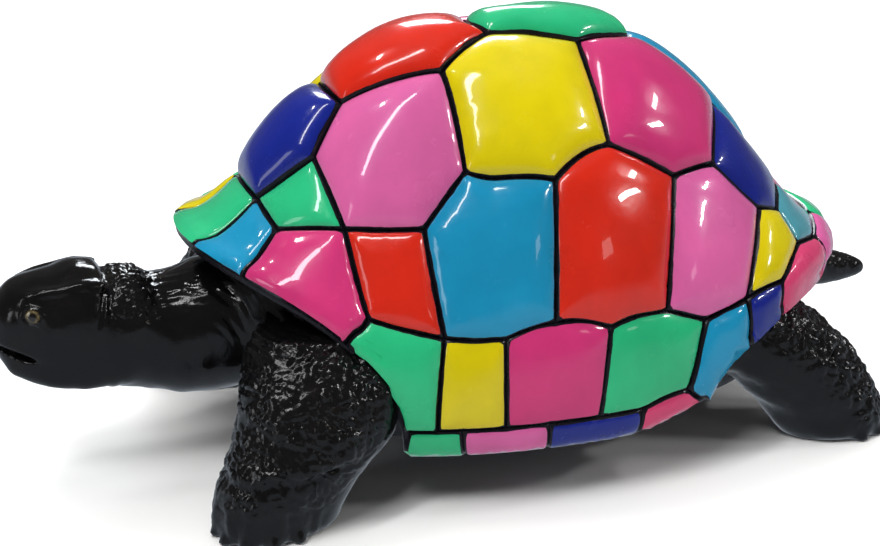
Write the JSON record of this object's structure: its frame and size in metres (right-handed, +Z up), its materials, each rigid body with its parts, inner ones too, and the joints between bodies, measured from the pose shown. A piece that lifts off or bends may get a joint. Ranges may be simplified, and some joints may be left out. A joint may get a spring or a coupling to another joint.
{
  "type": "painted tortoise sculpture",
  "caption": "Standing land tortoise cast in resin, high domed shell with raised colour-painted scutes and sunk black seams, gloss-black head, neck, legs and tail.",
  "frame": {"origin": "on the ground under the middle of the bounding box", "axes": "+X from head to tail, head towards -X; +Y towards the animal's right side; +Z up"},
  "size_m": [0.624, 0.3086, 0.2825],
  "materials": {
    "painted_resin": "glossy clear lacquer over flat hand-painted colours; scutes in red, yellow, green, two blues, navy, magenta and pink between black lines, skin gloss black"
  },
  "bodies": {
    "root": {"tortoise": "painted_resin"}
  },
  "joints": []
}
